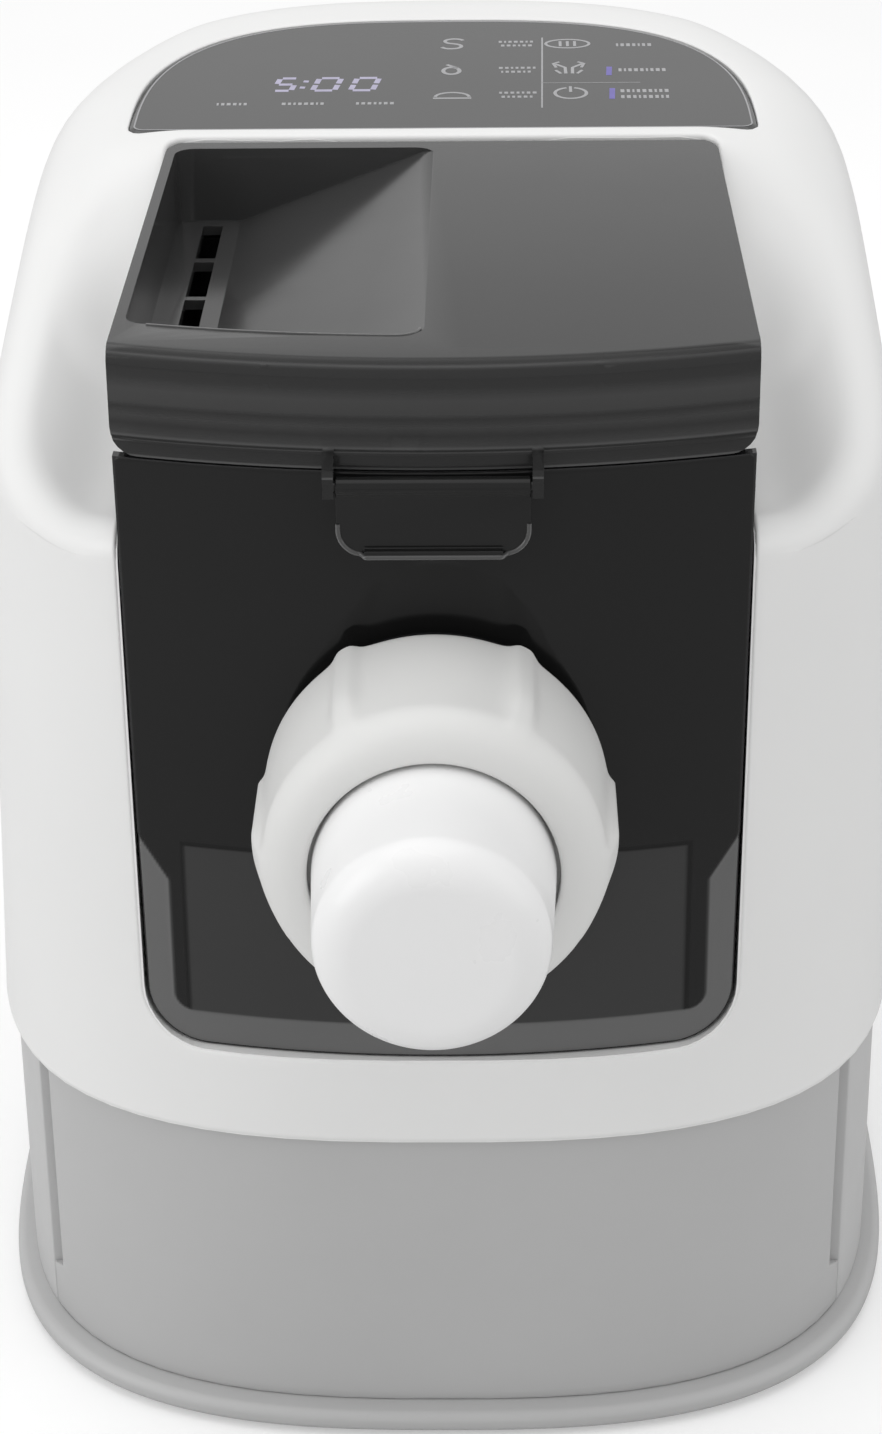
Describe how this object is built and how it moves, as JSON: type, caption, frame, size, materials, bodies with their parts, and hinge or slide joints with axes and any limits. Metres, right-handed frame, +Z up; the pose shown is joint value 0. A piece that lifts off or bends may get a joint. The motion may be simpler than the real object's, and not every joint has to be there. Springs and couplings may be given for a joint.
{
  "type": "electric pasta maker",
  "caption": "Table-top electric pasta maker with smoked mixing chamber, hinged lid, screw nut and capped nozzle, touch panel and drawer in the base.",
  "frame": {"origin": "bottom centre of the whole machine's box, nozzle cap included, on the surface that it stands on", "axes": "-Y to the front (nozzle), +X to the machine's left seen from the front's own side (right in the picture), +Z up"},
  "size_m": [0.2358, 0.3879, 0.2873],
  "materials": {
    "white_shell": "soft gloss moulded",
    "panel_lens": "glossy dark touch lens",
    "base_grey": "satin grey",
    "ring_grey": "satin pale grey",
    "foot_rubber": "matt",
    "smoked": "smoked, polished, see-through",
    "nut_frosted": "frosted, slightly milky",
    "cap_white": "soft gloss white",
    "die_white": "satin white",
    "seal_rubber": "matt silicone",
    "auger_plastic": "food-safe plastic",
    "steel": "turned",
    "bronze_gear": "sintered bronze",
    "nylon_gear": "nylon",
    "gearbox_alloy": "die cast",
    "motor_steel": "zinc plated",
    "magnet": "ferrite",
    "dark_plastic": "black moulded",
    "board_green": "circuit board"
  },
  "bodies": {
    "root": {"main_shell": "white_shell", "control_panel": "panel_lens", "base_housing": "base_grey", "base_plate": "ring_grey", "rubber_feet": "foot_rubber", "output_bearings": "steel", "gear_axles": "steel", "gearbox_housing": "gearbox_alloy", "gearbox_cover": "gearbox_alloy", "drive_frame": "steel", "motor_can": "motor_steel", "motor_magnets": "magnet", "motor_end_cap": "dark_plastic", "main_board": "board_green", "control_board": "board_green", "display_module": "dark_plastic", "touch_springs": "steel", "lid_switch": "dark_plastic", "power_inlet": "dark_plastic", "base_screws": "steel", "gearbox_screws": "steel", "frame_screws": "steel", "board_screws": "steel"},
    "drawer": {"storage_drawer": "base_grey"},
    "chamber": {"mixing_chamber": "smoked", "lid_hinge_pin": "steel", "shaft_seal": "seal_rubber", "pasta_die": "die_white", "die_gasket": "seal_rubber"},
    "lid": {"chamber_lid": "smoked", "latch_pin": "steel"},
    "latch": {"lid_latch": "smoked"},
    "nut": {"nozzle_nut": "nut_frosted"},
    "cap": {"nozzle_cap": "cap_white"},
    "auger": {"auger": "auger_plastic"},
    "output": {"drive_shaft": "steel", "output_gear": "bronze_gear"},
    "second": {"second_gear": "nylon_gear"},
    "first": {"first_gear": "nylon_gear"},
    "rotor": {"motor_rotor": "steel", "motor_pinion": "steel", "cooling_fan": "dark_plastic"}
  },
  "joints": [
    {"name": "drawer_slide", "type": "slide", "parent": "root", "child": "drawer", "axis": [0, -1, 0], "range_m": [0, 0.15]},
    {"name": "chamber_slide", "type": "slide", "parent": "root", "child": "chamber", "axis": [0, -1, 0], "range_m": [0, 0.17]},
    {"name": "lid_hinge", "type": "hinge", "parent": "chamber", "child": "lid", "pos_m": [0, 0.0526, 0.2746], "axis": [-1, 0, 0], "range_deg": [0, 75]},
    {"name": "latch_pull", "type": "hinge", "parent": "lid", "child": "latch", "pos_m": [0, -0.1152, 0.2525], "axis": [-1, 0, 0], "range_deg": [0, 15], "stiffness_Nm_per_rad": 0.03},
    {"name": "nut_turn", "type": "hinge", "parent": "chamber", "child": "nut", "pos_m": [0, -0.133, 0.181], "axis": [0, -1, 0], "range_deg": [0, 90]},
    {"name": "cap_pull", "type": "slide", "parent": "chamber", "child": "cap", "axis": [0, -1, 0], "range_m": [0, 0.045]},
    {"name": "rotor_turn", "type": "hinge", "parent": "root", "child": "rotor", "pos_m": [-0.02562, 0.137, 0.14492], "axis": [0, 1, 0], "continuous": true},
    {"name": "first_turn", "type": "hinge", "parent": "root", "child": "first", "pos_m": [0.00336, 0.087, 0.13716], "axis": [0, 1, 0], "continuous": true},
    {"name": "second_turn", "type": "hinge", "parent": "root", "child": "second", "pos_m": [0.03584, 0.077, 0.15591], "axis": [0, 1, 0], "continuous": true},
    {"name": "output_turn", "type": "hinge", "parent": "root", "child": "output", "pos_m": [0, 0.067, 0.181], "axis": [0, 1, 0], "continuous": true},
    {"name": "auger_turn", "type": "hinge", "parent": "chamber", "child": "auger", "pos_m": [0, -0.023, 0.181], "axis": [0, 1, 0], "continuous": true}
  ],
  "couplings": [
    {"joint": "first_turn", "follows": "rotor_turn", "ratio": -0.25},
    {"joint": "second_turn", "follows": "rotor_turn", "ratio": 0.0625},
    {"joint": "output_turn", "follows": "rotor_turn", "ratio": -0.015625},
    {"joint": "auger_turn", "follows": "rotor_turn", "ratio": -0.015625}
  ]
}
